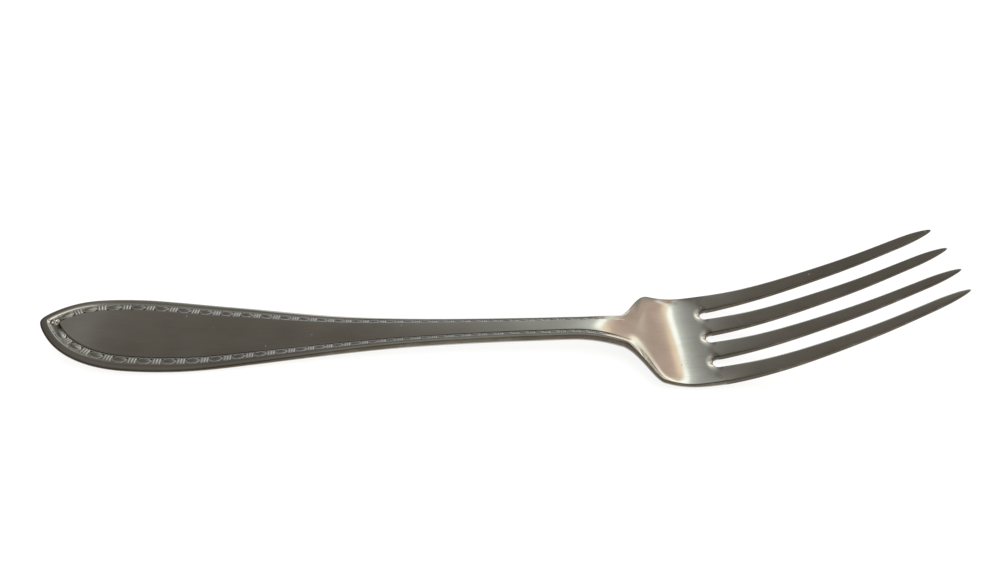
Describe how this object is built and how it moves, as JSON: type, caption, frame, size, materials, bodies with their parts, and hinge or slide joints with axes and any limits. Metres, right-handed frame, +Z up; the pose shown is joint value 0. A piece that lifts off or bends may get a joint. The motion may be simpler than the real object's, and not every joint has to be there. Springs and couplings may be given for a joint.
{
  "type": "fork",
  "caption": "Dessert fork with a long tapering handle, an arched neck, and a curved, dished head with tapering tines and round gap bottoms.",
  "frame": {"origin": "bottom centre of the whole fork's box, on the plane that it rests on with the tines curving up", "axes": "+X from the handle end to the tips, +Y across the fork, square to the plane that its halves mirror in, +Z up out of the hollow side"},
  "size_m": [0.184, 0.0244, 0.0271],
  "materials": {
    "fork_steel": "worn polished steel, fine lines across the head and down the handle"
  },
  "bodies": {
    "root": {"handle": "fork_steel", "neck": "fork_steel", "head": "fork_steel", "tine_1": "fork_steel", "tine_2": "fork_steel", "tine_3": "fork_steel", "tine_4": "fork_steel"}
  },
  "joints": []
}
